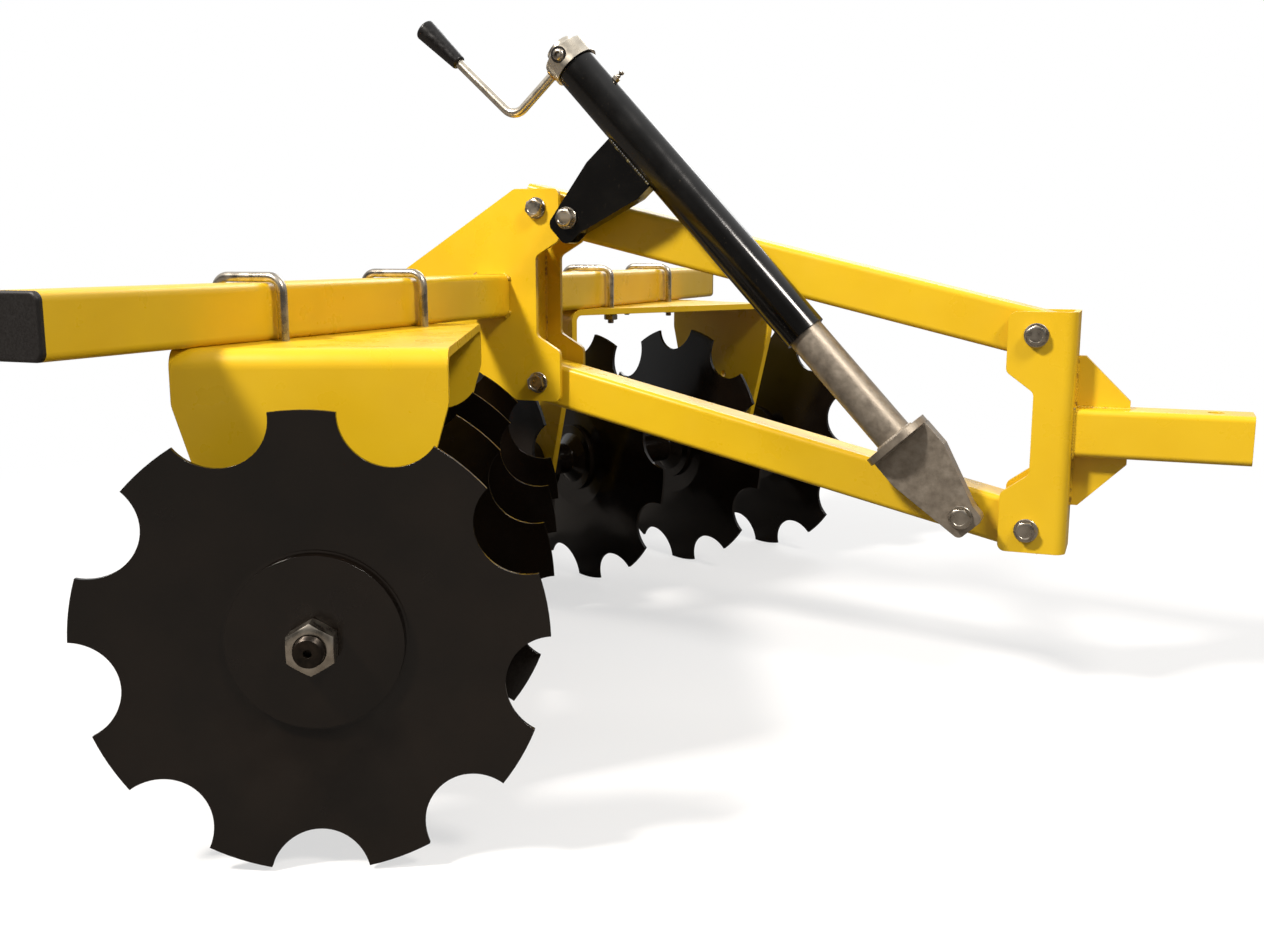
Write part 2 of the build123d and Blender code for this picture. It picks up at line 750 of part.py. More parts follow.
def fork_edge(inset):
    """Side outline of the fork; inset moves its front edge in by the plate, for the hollow."""
    return [
        (fork_top, -fork_rear),
        (fork_top - fork_neck, -fork_rear),
        (-fork_nose, -fork_nose),
        (-fork_nose, fork_nose - inset),
        (0, fork_nose - inset),
        (fork_top - fork_neck, fork_front - inset),
        (fork_top, fork_front - inset),
    ]


with BuildPart() as fork:
    with BuildSketch(jack_profile) as fork_outline:
        with BuildLine():
            Polyline(*fork_edge(0), close=True)
        make_face()
        fillet(fork_outline.vertices().sort_by(Axis.X)[:2], fork_nose_corner)
    extrude(amount=fork_half, both=True)
    with BuildSketch(jack_profile):
        with BuildLine():
            Polyline(*fork_edge(fork_plate), close=True)
        make_face()
    extrude(amount=fork_half - fork_plate, both=True, mode=Mode.SUBTRACT)
    with BuildSketch(jack_profile):
        Circle(bolt_bore)
    extrude(amount=fork_width, both=True, mode=Mode.SUBTRACT)
save(fork, "jack_fork")

lug_far_face = -jack_side + fork_half
moving_face = -link_half - side_gap
pivot_bolt(
    "jack_upper_bolt",
    upper_pin.X,
    upper_pin.Z,
    -jack_side - fork_half - side_gap,
    link_half,
    (lug_far_face + side_gap, -link_half),
)
pivot_bolt(
    "jack_lower_bolt",
    lower_pin.X,
    lower_pin.Z,
    -jack_side - fork_half,
    link_half + side_gap,
    (lug_far_face, moving_face),
)

# ------------------------------------------------------------------ crank

head_low = barrel_top + crank_gap
arm_level = head_low + crank_arm_level
collar_top = barrel_top - barrel_lid - crank_gap
with BuildPart() as crank:
    with BuildSketch(jack_profile):
        with BuildLine():
            Polyline((head_low + crank_head - crank_head_round, crank_head_radius), (head_low, crank_head_radius))
            Polyline(
                (head_low, crank_head_radius),
                (head_low, spindle_radius),
                (collar_top, spindle_radius),
                (collar_top, spindle_collar),
                (collar_top - barrel_lid, spindle_collar),
                (collar_top - barrel_lid, 0),
                (head_low + crank_head, 0),
                (head_low + crank_head, crank_head_radius - crank_head_round),
            )
            RadiusArc(
                (head_low + crank_head, crank_head_radius - crank_head_round),
                (head_low + crank_head - crank_head_round, crank_head_radius),
                crank_head_round,
            )
        make_face()
    revolve(axis=jack_axis)
    with BuildLine(jack_profile) as crank_path:
        FilletPolyline(
            (arm_level, -crank_head_radius / 2),
            (arm_level, -crank_arm),
            (arm_level + crank_handle, -crank_arm - crank_handle * sin(radians(crank_splay))),
            radius=crank_bend,
        )
    with BuildSketch(Plane(origin=crank_path.line @ 0, z_dir=crank_path.line % 0)):
        Circle(crank_rod_radius)
    sweep(path=crank_path.line)
save(crank, "crank")

handle_end = crank_path.line @ 1
handle_way = crank_path.line % 1
grip_profile = Plane(origin=handle_end, x_dir=handle_way, z_dir=(0, 1, 0))
with BuildPart() as grip:
    with BuildSketch(grip_profile) as grip_half:
        with BuildLine():
            Polyline(
                (-grip_length + grip_wall, 0),
                (grip_wall, 0),
                (grip_wall, grip_large),
                (-grip_length + grip_wall, grip_small),
                close=True,
            )
        make_face()
        fillet(grip_half.vertices().sort_by(Axis.Y)[-2:], grip_round)
        with BuildSketch(mode=Mode.SUBTRACT):
            with Locations((-grip_length, 0)):
                Rectangle(2 * grip_length, 2 * crank_rod_radius)
    revolve(axis=Axis(handle_end, handle_way))
save(grip, "crank_grip")
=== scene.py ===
# Looks of the disc harrow: paint, enamel, zinc, steel and plastic finishes, fasteners, welds, floor, light and
# camera.
# The imported model is the fixed frame.  Metres, in the imported model's frame.

import json
import math
import random

import bpy
from mathutils import Matrix, Vector


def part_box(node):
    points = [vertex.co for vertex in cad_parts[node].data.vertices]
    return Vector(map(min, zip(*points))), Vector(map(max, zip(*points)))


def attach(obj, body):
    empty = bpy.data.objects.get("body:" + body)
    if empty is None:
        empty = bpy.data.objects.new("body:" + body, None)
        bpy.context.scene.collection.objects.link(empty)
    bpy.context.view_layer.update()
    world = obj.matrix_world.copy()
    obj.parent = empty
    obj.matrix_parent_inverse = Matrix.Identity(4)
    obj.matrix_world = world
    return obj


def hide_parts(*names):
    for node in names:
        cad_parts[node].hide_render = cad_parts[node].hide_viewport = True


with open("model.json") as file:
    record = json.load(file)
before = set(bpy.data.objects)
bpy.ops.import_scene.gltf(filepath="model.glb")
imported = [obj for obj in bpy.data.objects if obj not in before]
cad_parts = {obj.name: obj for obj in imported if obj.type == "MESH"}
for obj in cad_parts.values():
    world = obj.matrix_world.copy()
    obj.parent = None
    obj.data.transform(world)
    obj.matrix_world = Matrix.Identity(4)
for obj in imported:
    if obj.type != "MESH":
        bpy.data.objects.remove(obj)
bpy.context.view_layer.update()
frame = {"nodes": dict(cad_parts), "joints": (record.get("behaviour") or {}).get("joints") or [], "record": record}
nodes = frame["nodes"]
mm = 0.001
random.seed(7)

SIDES = (("right", -1), ("left", 1))
X = Vector((1, 0, 0))
Y = Vector((0, 1, 0))
Z = Vector((0, 0, 1))


# ---------------------------------------------------------------- places, read from the frame

def middle(node):
    """Middle of a CAD node's box."""
    low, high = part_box(node)
    return (Vector(low) + Vector(high)) / 2


def joint(name):
    """A joint's point and axis."""
    found = next(j for j in frame["joints"] if j["name"] == name)
    return Vector(found.get("pos_m", (0, 0, 0))), Vector(found["axis"]).normalized()


tube_middle = middle("cross_tube")
tube_low, tube_high = (Vector(c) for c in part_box("cross_tube"))
tube_half = (tube_high.z - tube_low.z) / 2
jack_top, jack_way = joint("crank_turn")
jack_front = Y.cross(jack_way)
upper_pin = joint("jack_swing")[0]
BARREL_TOP_ALONG = 650 * mm  # of the barrel's top, from the jack's lower pin
jack_foot = jack_top - jack_way * BARREL_TOP_ALONG
BARREL_RADIUS = 24.15

# ---------------------------------------------------------------- materials

def linear(colour):
    """sRGB hex, such as "F2C029", to a linear colour with alpha."""
    parts = [int(colour[i:i + 2], 16) / 255 for i in (0, 2, 4)]
    return tuple(c / 12.92 if c <= 0.04045 else ((c + 0.055) / 1.055) ** 2.4 for c in parts) + (1.0,)


def add_node(tree, kind, links=None, **settings):
    """Adds one node.  settings are its own properties or the values of its inputs; links are inputs
    by name or number, each with the output that feeds it."""
    made = tree.nodes.new(kind)
    for name, value in settings.items():
        if hasattr(made, name):
            setattr(made, name, value)
        else:
            made.inputs[name.replace("_", " ")].default_value = value
    for name, output in (links or {}).items():
        tree.links.new(output, made.inputs[name])
    return made


def new_material(name, colour, roughness, metallic=0.0, **shader):
    """Material with a Principled surface, returned with its tree, shader and object coordinates."""
    made = bpy.data.materials.new(name)
    made.use_nodes = True
    tree = made.node_tree
    surface = tree.nodes["Principled BSDF"]
    surface.inputs["Base Color"].default_value = linear(colour)
    surface.inputs["Roughness"].default_value = roughness
    surface.inputs["Metallic"].default_value = metallic
    for socket, value in shader.items():
        surface.inputs[socket.replace("_", " ")].default_value = value
    place = add_node(tree, "ShaderNodeTexCoord").outputs["Object"]
    return made, tree, surface, place


def noise(tree, place, size_mm, detail=4.0, rough=0.5):
    """Noise whose features are about size_mm across."""
    scale = 1 / (size_mm * mm)
    made = add_node(tree, "ShaderNodeTexNoise", {"Vector": place}, Scale=scale, Detail=detail, Roughness=rough)
    return made.outputs["Fac"]


def ramp(tree, value, stops):
    """Colour ramp over a value; stops are (position, hex)."""
    made = add_node(tree, "ShaderNodeValToRGB", {"Fac": value})
    elements = made.color_ramp.elements
    while len(elements) < len(stops):
        elements.new(0.5)
    for element, (position, colour) in zip(elements, stops):
        element.position = position
        element.color = linear(colour)
    return made.outputs["Color"]


def spread(tree, value, low, high, to_low, to_high):
    """Maps a value from one range to another, held at its ends."""
    return add_node(
        tree,
        "ShaderNodeMapRange",
        {"Value": value},
        From_Min=low,
        From_Max=high,
        To_Min=to_low,
        To_Max=to_high,
    ).outputs["Result"]


def mix_colours(tree, share, below, above):
    """Two colours, each a hex or an output, mixed by a share."""
    made = add_node(tree, "ShaderNodeMix", {0: share}, data_type="RGBA")
    for number, colour in ((6, below), (7, above)):
        if isinstance(colour, str):
            made.inputs[number].default_value = linear(colour)
        else:
            tree.links.new(colour, made.inputs[number])
    return made.outputs[2]


def feed(tree, surface, socket, output):
    """Feeds one of a shader's inputs."""
    tree.links.new(output, surface.inputs[socket])


def bump(tree, surface, height, depth_mm, edge_mm=0.0):
    """Relief of depth_mm on a surface, with the sharp edges worn round to edge_mm."""
    made = add_node(tree, "ShaderNodeBump", {"Height": height}, Strength=1.0, Distance=depth_mm * mm)
    if edge_mm:
        rounded = add_node(tree, "ShaderNodeBevel", samples=4, Radius=edge_mm * mm)
        tree.links.new(rounded.outputs["Normal"], made.inputs["Normal"])
    feed(tree, surface, "Normal", made.outputs["Normal"])


def powder_coat():
    """Yellow powder coat on steel: dielectric, IOR 1.5, semi-gloss, with a faint orange peel."""
    made, tree, surface, place = new_material("yellow_powder_coat", "E3B91D", 0.26, IOR=1.5)
    cloud = noise(tree, place, 90, 3.0)
    feed(tree, surface, "Base Color", ramp(tree, cloud, [(0.3, "E0B51B"), (0.65, "E6BD20")]))
    feed(tree, surface, "Roughness", spread(tree, noise(tree, place, 35), 0.3, 0.7, 0.24, 0.38))
    bump(tree, surface, noise(tree, place, 1.6, 2.0), 0.015, 0.9)
    return made


def weld_coat(name, colour, burnt):
    """Paint over a weld bead: as the paint beside it, with burnt patches; dielectric, IOR 1.5."""
    made, tree, surface, place = new_material(name, colour, 0.4, IOR=1.5)
    patch = noise(tree, place, 7, 5.0)
    share = spread(tree, patch, 0.52, 0.66, 0.0, 1.0)
    feed(tree, surface, "Base Color", mix_colours(tree, share, colour, burnt))
    bump(tree, surface, noise(tree, place, 2, 3.0), 0.1)
    return made


def disc_enamel():
    """Brown-black enamel, dipped over pressed steel: dielectric, IOR 1.5, glossy, faintly dusty."""
    made, tree, surface, place = new_material("dipped_disc_enamel", "100B08", 0.2, IOR=1.5)
    dust = noise(tree, place, 60, 6.0)
    feed(tree, surface, "Base Color", ramp(tree, dust, [(0.35, "0D0906"), (0.75, "16100B")]))
    feed(tree, surface, "Roughness", spread(tree, noise(tree, place, 40, 5.0), 0.35, 0.75, 0.1, 0.3))
    bump(tree, surface, noise(tree, place, 18, 2.0), 0.04, 0.7)
    return made


def black_paint():
    """Glossy black paint on the jack, IOR 1.5, with fine pale scratches."""
    made, tree, surface, place = new_material("glossy_black_paint", "090807", 0.16, IOR=1.5)
    long_way = add_node(tree, "ShaderNodeMapping", {"Vector": place}, Scale=(1.0, 1.0, 0.25)).outputs["Vector"]
    scratch = add_node(
        tree, "ShaderNodeTexNoise", {"Vector": long_way}, Scale=260.0, Detail=3.0, Distortion=3.0
    )
    line = spread(tree, scratch.outputs["Fac"], 0.72, 0.74, 0.0, 0.8)
    feed(tree, surface, "Base Color", mix_colours(tree, line, "090807", "4A4238"))
    feed(tree, surface, "Roughness", spread(tree, noise(tree, place, 30), 0.3, 0.7, 0.1, 0.24))
    bump(tree, surface, noise(tree, place, 6, 3.0), 0.03, 0.7)
    return made


def galvanised():
    """Hot-dip galvanised steel, a metal: grey zinc, softly mottled, with small pits and a dull sheen."""
    made, tree, surface, place = new_material("galvanised_steel", "948A7C", 0.45, 0.65)
    mottle = noise(tree, place, 9, 6.0, 0.6)
    speck = noise(tree, place, 1.5, 4.0, 0.6)
    feed(tree, surface, "Base Color", ramp(tree, mottle, [(0.3, "857B6E"), (0.5, "958B7D"), (0.7, "A2988A")]))
    feed(tree, surface, "Roughness", spread(tree, mottle, 0.3, 0.7, 0.34, 0.52))
    bump(tree, surface, speck, 0.12, 0.8)
    return made


def plated_steel(name, low, high, smooth, rough, grain=0.012):
    """Zinc or nickel plated steel, a metal: bright, a little dulled by handling."""
    made, tree, surface, place = new_material(name, high, smooth, 1.0)
    patch = noise(tree, place, 12, 3.0)
    feed(tree, surface, "Base Color", ramp(tree, patch, [(0.3, low), (0.65, high)]))
    feed(tree, surface, "Roughness", spread(tree, patch, 0.3, 0.7, smooth, rough))
    bump(tree, surface, noise(tree, place, 2.5, 2.0), grain)
    return made


def dark_steel(name, low, high, roughness):
    """Oiled or blackened steel, mostly metallic."""
    made, tree, surface, place = new_material(name, low, roughness, 0.7)
    patch = noise(tree, place, 6, 5.0)
    feed(tree, surface, "Base Color", ramp(tree, patch, [(0.3, low), (0.7, high)]))
    bump(tree, surface, patch, 0.03, 0.5)
    return made


def moulded_plastic(name, colour, roughness, grain_mm):
    """Moulded polyethylene or PVC, IOR 1.5: dulled by the fine grain of its mould."""
    made, tree, surface, place = new_material(name, colour, roughness, IOR=1.5)
    grain = noise(tree, place, grain_mm, 3.0)
    feed(tree, surface, "Roughness", spread(tree, grain, 0.3, 0.7, roughness - 0.08, roughness + 0.1))
    bump(tree, surface, grain, 0.02, 0.9)
    return made


FINISHES = {
    "yellow_paint": powder_coat(),
    "disc_enamel": disc_enamel(),
    "black_paint": black_paint(),
    "galvanised_steel": galvanised(),
    "zinc_plate": plated_steel("zinc_plated_steel", "A0978A", "C9C1B3", 0.22, 0.36),
    "bright_steel": plated_steel("bright_plated_steel", "CFC5B4", "E6DDCC", 0.24, 0.32, 0.002),
    "dark_steel": dark_steel("oiled_dark_steel", "1B1611", "322A22", 0.35),
    "cap_plastic": moulded_plastic("matt_cap_plastic", "100C0A", 0.5, 1.4),
    "grip_plastic": moulded_plastic("black_grip_plastic", "0C0A09", 0.3, 5.0),
}
yellow_weld = weld_coat("painted_weld", "DAB01A", "8C651C")
black_weld = weld_coat("black_painted_weld", "0D0B0A", "6B6238")
zinc_weld = weld_coat("galvanised_weld", "8A8072", "665C4C")
brass_weld = plated_steel("brazed_joint", "8D6B32", "C09A55", 0.3, 0.45)
# near-black recess colour: painted shade, standing in for the shade inside the crank head's counterbore
recess_painted_shade = dark_steel("painted_shade_recess", "0A0908", "16120F", 0.6)

for part in frame["record"]["subparts"]:
    shown = nodes[part["node"]]
    shown.data.materials.clear()
    shown.data.materials.append(FINISHES[part["material_slot"]])
    shown.data.shade_smooth()
    shown.data.set_sharp_from_angle(angle=math.radians(28))

# ---------------------------------------------------------------- making pieces

TURNS = 48


def stand(point, way, side=None):
    """Matrix of a place: its z runs along way, its x as near side as it can."""
    z = Vector(way).normalized()
    x = Vector(side) if side else (X if abs(z.x) < 0.9 else Y)
    x = (x - z * x.dot(z)).normalized()
    turned = Matrix((x, z.cross(x), z)).transposed().to_4x4()
    return Matrix.Translation(point) @ turned


def rings_mesh(rings, close_start=True, close_end=True, joined=False):
    """Vertices and faces of rings of points, each skinned to the next."""
    count = len(rings[0])
    verts = [point for ring in rings for point in ring]
    faces = []
    for k in range(len(rings) if joined else len(rings) - 1):
        below = k * count
        above = (k + 1) % len(rings) * count
        for j in range(count):
            after = (j + 1) % count
            faces.append((below + j, below + after, above + after, above + j))
    if close_start and not joined:
        faces.append(tuple(reversed(range(count))))
    if close_end and not joined:
        faces.append(tuple(range((len(rings) - 1) * count, len(rings) * count)))
    return verts, faces


def around(radius, j, level):
    """Point, in metres, of step j of a ring given in mm."""
    turn = math.tau * j / TURNS
    return radius * mm * math.cos(turn), radius * mm * math.sin(turn), level * mm


def turned_rings(profile):
    """Rings of a turned form; profile is (radius, height) in mm, from low to high."""
    return [[around(radius, j, height) for j in range(TURNS)] for radius, height in profile]


def hexagon_rings(flats, low, high, bore=0.0, both=False):
    """Rings of a hexagon head or nut with its corners chamfered at the top, or at both ends of a nut."""
    face = 0.95 * flats / 2

    def ring(level, inward):
        points = []
        for j in range(TURNS):
            turn = math.tau * j / TURNS
            across = flats / 2 / math.cos((turn % (math.pi / 3)) - math.pi / 6)
            fall = max(0.0, across - face) * math.tan(math.radians(30))
            points.append(around(across, j, level + inward * fall))
        return points

    def circle(radius, level):
        return turned_rings([(radius, level)])[0]

    rings = [circle(face, low), ring(low, 1)] if both else [ring(low, 0)]
    rings += [ring(high, -1), circle(face, high)]
    if bore:
        rings = [circle(bore, low)] + rings + [circle(bore + 1.0, high), circle(bore, high - 1.0)]
    return rings


def thread_rings(radius, low, high, pitch):
    """Rings of a threaded stretch with a chamfered end; the ridge winds round it."""
    rings = []
    steps = int((high - low) / pitch * 6)
    for k in range(steps + 1):
        level = low + (high - low) * k / steps
        ring = []
        for j in range(TURNS):
            phase = (level / pitch - j / TURNS) % 1.0
            ridge = 0.6 * pitch * abs(phase - 0.5) * 2
            size = min(radius - 0.6 * pitch + ridge, radius - 1.2 + (high - level))
            turn = math.tau * j / TURNS
            ring.append((size * mm * math.cos(turn), size * mm * math.sin(turn), level * mm))
        rings.append(ring)
    return rings


def piece(name, shapes, matrix, body, finish, smooth=35.0):
    """One object from several (verts, faces), placed by a matrix and carried by a body."""
    verts, faces = [], []
    for shape_verts, shape_faces in shapes:
        start = len(verts)
        verts += shape_verts
        faces += [tuple(start + v for v in face) for face in shape_faces]
    mesh = bpy.data.meshes.new(name)
    mesh.from_pydata(verts, [], faces)
    mesh.transform(matrix)
    mesh.validate()
    mesh.materials.append(finish)
    mesh.shade_smooth()
    mesh.set_sharp_from_angle(angle=math.radians(smooth))
    made = bpy.data.objects.new(name, mesh)
    bpy.context.scene.collection.objects.link(made)
    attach(made, body)
    return made


def moved(shape, matrix):
    """A shape placed by a matrix, for joining to others."""
    verts, faces = shape
    return [tuple(matrix @ Vector(v)) for v in verts], faces


def swept(path, radius, sides=16, close=False):
    """Round bar along a path of points, in metres."""
    rings = []
    count = len(path)
    up = None
    for k, point in enumerate(path):
        before = path[(k - 1) % count] if close or k else path[0]
        after = path[(k + 1) % count] if close or k < count - 1 else path[-1]
        way = (after - before).normalized()
        if up is None:
            up = way.orthogonal().normalized()
        up = (up - way * up.dot(way)).normalized()
        side = way.cross(up)
        size = radius(k) if callable(radius) else radius
        turns = [math.tau * j / sides for j in range(sides)]
        rings.append([tuple(point + (up * math.cos(turn) + side * math.sin(turn)) * size) for turn in turns])
    return rings_mesh(rings, joined=close)


WELD_STEP = 0.8


def weld(name, points, width, body, finish, close=False, ripple=3.2):
    """Weld bead along a path of corner points: overlapping ripples, a little uneven, half sunk in."""
    path = []
    corners = points + [points[0]] if close else points
    for start, end in zip(corners, corners[1:]):
        steps = max(2, int((end - start).length / (WELD_STEP * mm)))
        path += [start.lerp(end, k / steps) for k in range(steps)]
    if not close:
        path.append(points[-1])
    start_phase = random.random()
    sizes = []
    for k in range(len(path)):
        wave = 0.2 * abs(math.sin(math.pi * (k * WELD_STEP / ripple + start_phase)))
        sizes.append(width / 2 * (0.82 + wave + random.uniform(-0.03, 0.03)))
    return piece(name, [swept(path, lambda k: sizes[k] * mm, 10, close)], Matrix(), body, finish, 80.0)


def arc(centre, start, turn_to, radius, steps=8):
    """Points of a quarter arc from one direction to another."""
    return [
        centre + start * radius * math.cos(a) + turn_to * radius * math.sin(a)
        for a in (math.pi / 2 * k / steps for k in range(steps + 1))
    ]

# ---------------------------------------------------------------- pivot bolts

BOLT = {
    "radius": 6.0,
    "flats": 19.0,
    "head": 8.0,
    "nut": 10.0,
    "washer": 2.5,
    "washer_radius": 12.5,
    "tail": 5.0,
    "pitch": 1.75,
}
# node, body, radius and ends of its spacer in mm from the machine's middle, or nothing
PIVOTS = [
    ("rear_upper_bolt", "frame", None),
    ("rear_lower_bolt", "frame", None),
    ("front_upper_bolt", "hitch", None),
    ("front_lower_bolt", "hitch", None),
    ("jack_upper_bolt", "upper_link", (14.0, -45.5, -25.0)),
    ("jack_lower_bolt", "jack_ram", (14.0, -46.0, -25.5)),
]


def washer_rings(low, high, radius, ease=0.5):
    """Rings of a washer or spacer with its edges eased."""
    return turned_rings(
        [(radius - ease, low), (radius, low + ease), (radius, high - ease), (radius - ease, high)]
    )


for node, body, spacer in PIVOTS:
    low, high = (Vector(c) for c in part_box(node))
    at = middle(node)
    start = low.y / mm + BOLT["head"] + BOLT["washer"]
    end = high.y / mm - BOLT["tail"] - BOLT["nut"] - BOLT["washer"]
    turn = random.uniform(0, math.pi / 3)
    spin = Matrix.Rotation(turn, 4, "Z")
    head_top = BOLT["washer"] + BOLT["head"] - 0.6
    head = hexagon_rings(BOLT["flats"], BOLT["washer"], head_top)
    dish = turned_rings([(7.2, head_top), (6.8, BOLT["washer"] + BOLT["head"] - 1.0)])
    nut_low = end + BOLT["washer"]
    flipped = Matrix.Translation((0, 0, start * mm)) @ Matrix.Rotation(math.pi, 4, "X")
    shapes = [
        moved(rings_mesh(head + dish), flipped @ spin),
        moved(rings_mesh(washer_rings(0, BOLT["washer"], BOLT["washer_radius"])), flipped),
        rings_mesh(turned_rings([(BOLT["radius"], start), (BOLT["radius"], end)])),
        rings_mesh(washer_rings(end, nut_low, BOLT["washer_radius"])),
        moved(
            rings_mesh(hexagon_rings(BOLT["flats"], nut_low, nut_low + BOLT["nut"], BOLT["radius"], True)),
            Matrix.Rotation(random.uniform(0, 1), 4, "Z"),
        ),
        rings_mesh(thread_rings(BOLT["radius"], end, high.y / mm, BOLT["pitch"])),
    ]
    if spacer:
        size, near, far = spacer
        shapes.append(rings_mesh(washer_rings(near, far, size, 0.8)))
    seat = stand(Vector((at.x, 0, at.z)), Y, X)
    bolt = piece(node + "_fitted", shapes, seat, body, FINISHES["zinc_plate"])
    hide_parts(node)

# ---------------------------------------------------------------- U-bolts

ROD = {
    "radius": 4.5,
    "flats": 17.0,
    "nut": 9.0,
    "bend": 13.0,
    "flange": 8.0,
    "washer": 1.6,
    "washer_radius": 9.5,
    "pitch": 1.25,
}
for side_name, side in SIDES:
    for place in ("inner", "outer"):
        node = f"{side_name}_{place}_u_bolt"
        low, high = (Vector(c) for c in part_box(node))
        at = middle(node)
        half = (high.x - low.x) / 2 / mm - ROD["radius"]
        top = (high.z / mm) - ROD["radius"]
        nut_face = tube_low.z / mm - ROD["flange"]
        thread_top = nut_face - 0.5
        bend = ROD["bend"] * mm
        corner = [Vector((at.x - half * mm, at.y, top * mm)), Vector((at.x + half * mm, at.y, top * mm))]
        path = [Vector((corner[0].x, at.y, thread_top * mm))]
        path += arc(corner[0] + Vector((bend, 0, -bend)), -X, Z, bend)
        path += arc(corner[1] + Vector((-bend, 0, -bend)), Z, X, bend)
        path.append(Vector((corner[1].x, at.y, thread_top * mm)))
        shapes = [swept(path, ROD["radius"] * mm, 24)]
        for end in (corner[0].x, corner[1].x):
            foot = stand(Vector((end, at.y, nut_face * mm)), -Z, X)
            reach = nut_face - low.z / mm
            turned = foot @ Matrix.Rotation(random.uniform(0, 1), 4, "Z")
            shapes.append(moved(rings_mesh(washer_rings(0, ROD["washer"], ROD["washer_radius"])), foot))
            nut_rings = hexagon_rings(ROD["flats"], ROD["washer"], ROD["nut"], ROD["radius"], True)
            shapes.append(moved(rings_mesh(nut_rings), turned))
            shapes.append(moved(rings_mesh(thread_rings(ROD["radius"], 0.0, reach, ROD["pitch"])), foot))
        u_bolt = piece(node + "_fitted", shapes, Matrix(), "frame", FINISHES["zinc_plate"])
        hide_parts(node)

# ---------------------------------------------------------------- gang shafts and their nuts

SHAFT = {"radius": 12.0, "flats": 36.0, "pitch": 2.5}
CENTRE_DRILLING = [(3.4, 0.0), (3.2, -0.6), (3.2, -7.0)]  # radius, and height from the shaft's end


def along(node, point, way):
    """How far, in mm, each corner of a node's mesh lies along a line."""
    return [(Vector(v.co) - point).dot(way) / mm for v in nodes[node].data.vertices]


for side_name, side in SIDES:
    body = f"{side_name}_gang"
    point, out = joint(f"{side_name}_gang_turn")
    ends = along(f"{side_name}_gang_shaft", point, out)
    nut_ends = along(f"{side_name}_gang_nut", point, out)
    if max(nut_ends) < 0:
        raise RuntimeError("the gang nut isn't at the outer end of its shaft")
    tail = max(ends)
    head_end = min(ends)
    nut_low, nut_high = min(nut_ends), max(nut_ends)
    nut_thick = nut_high - nut_low
    seat = stand(point, out, Z)
    head_seat = Matrix.Translation((0, 0, (head_end + nut_thick) * mm)) @ Matrix.Rotation(math.pi, 4, "X")
    shaft = piece(
        f"{side_name}_gang_shaft_fitted",
        [
            moved(rings_mesh(hexagon_rings(SHAFT["flats"], 0.0, nut_thick)), head_seat),
            rings_mesh(turned_rings([(SHAFT["radius"], head_end + 10.0), (SHAFT["radius"], nut_low)])),
            rings_mesh(
                thread_rings(SHAFT["radius"], nut_low, tail, SHAFT["pitch"])
                + turned_rings([(radius, tail + height) for radius, height in CENTRE_DRILLING])
            ),
        ],
        seat,
        body,
        FINISHES["dark_steel"],
    )
    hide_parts(f"{side_name}_gang_shaft")
    nut = piece(
        f"{side_name}_gang_nut_fitted",
        [
            rings_mesh(hexagon_rings(SHAFT["flats"], nut_low, nut_high, SHAFT["radius"], True)),
        ],
        seat,
        body,
        FINISHES["zinc_plate"],
    )
    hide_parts(f"{side_name}_gang_nut")

# ---------------------------------------------------------------- square long edges of the gang brackets

# the bracket's cut ends are square, so each long edge is filled out over the rounding of the fixed frame
EDGE_ROUND = 20.0
BEND = 16.0
PLATE = 8.0
HALF_WIDTH = 111.0
BEHIND_SHAFT = 11.0
LEG_OFFSET = 185.0
EDGE_STEPS = 10


def quarter(middle_s, middle_z, radius, start):
    """Points, in mm, of a quarter turn about a point of the bracket's section, from start degrees on."""
    turns = (math.radians(start + 90 * k / EDGE_STEPS) for k in range(EDGE_STEPS + 1))
    return [(middle_s + radius * math.cos(a), middle_z + radius * math.sin(a)) for a in turns]


outer_s = LEG_OFFSET + PLATE / 2
inner_s = LEG_OFFSET - PLATE / 2
falls = [EDGE_ROUND * k / EDGE_STEPS for k in range(EDGE_STEPS + 1)]
leg_falls = [f for f in reversed(falls) if f > BEND]
section = [(outer_s, -f) for f in leg_falls] + quarter(outer_s - BEND, -BEND, BEND, 0)
section += quarter(-outer_s + BEND, -BEND, BEND, 90) + [(-outer_s, -f) for f in reversed(leg_falls)]
inner_bend = BEND - PLATE
hollow = [(inner_s, -f) for f in leg_falls] + quarter(inner_s - inner_bend, -BEND, inner_bend, 0)
hollow += quarter(-inner_s + inner_bend, -BEND, inner_bend, 90) + [(-inner_s, -f) for f in reversed(leg_falls)]
outline = section + list(reversed(hollow))
for side_name, side in SIDES:
    point, out = joint(f"{side_name}_gang_turn")
    ahead = Z.cross(out) * -side
    top = tube_low.z
    for end_name, end in (("front", 1), ("rear", -1)):
        rings = []
        for level in (0, 1):
            ring = []
            for s, z in outline:
                depth = max(0.0, min(EDGE_ROUND, EDGE_ROUND + z))
                kept = HALF_WIDTH - EDGE_ROUND + math.sqrt(EDGE_ROUND**2 - depth**2)
                across = end * (HALF_WIDTH if level else min(kept, HALF_WIDTH)) - BEHIND_SHAFT
                place = point + out * s * mm + ahead * across * mm
                ring.append((place.x, place.y, top + z * mm))
            rings.append(ring)
        count = len(outline)
        last = 2 * count - 1
        verts, faces = rings_mesh(rings, False, False)
        faces += [(count + k, count + k + 1, last - 1 - k, last - k) for k in range(count // 2 - 1)]
        name = f"{side_name}_bracket_{end_name}_edge"
        edge = piece(name, [(verts, faces)], Matrix(), "frame", FINISHES["yellow_paint"], 28.0)

# ---------------------------------------------------------------- welds

